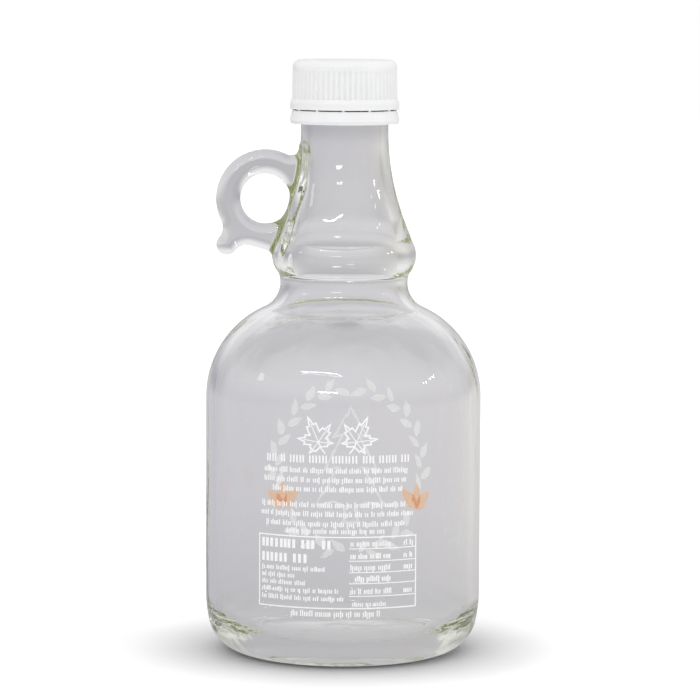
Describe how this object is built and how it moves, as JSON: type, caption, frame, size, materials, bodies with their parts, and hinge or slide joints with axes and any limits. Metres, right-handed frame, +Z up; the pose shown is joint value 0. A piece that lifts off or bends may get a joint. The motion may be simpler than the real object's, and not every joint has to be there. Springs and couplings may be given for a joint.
{
  "type": "glass syrup jug",
  "caption": "Clear glass jug with a straight round body, domed shoulder, collar ring and flared neck with a small finger loop and thumb spur, shut by a ribbed white screw cap.",
  "frame": {"origin": "on the jug's own axis, in the plane of the ring that it stands on", "axes": "+Z up along the jug's axis, the finger loop on the -X side in the XZ plane, the front faces -Y"},
  "size_m": [0.086, 0.086, 0.1849],
  "materials": {
    "glass": "clear, fire-polished, faintly green where it is thick",
    "print_white": "opaque white ceramic ink, screen printed and fired on the glass",
    "print_orange": "orange ceramic ink, screen printed and fired on the glass",
    "cap_plastic": "white injection-moulded plastic, satin gloss"
  },
  "bodies": {
    "root": {"jug": "glass", "cap": "cap_plastic"}
  },
  "joints": []
}
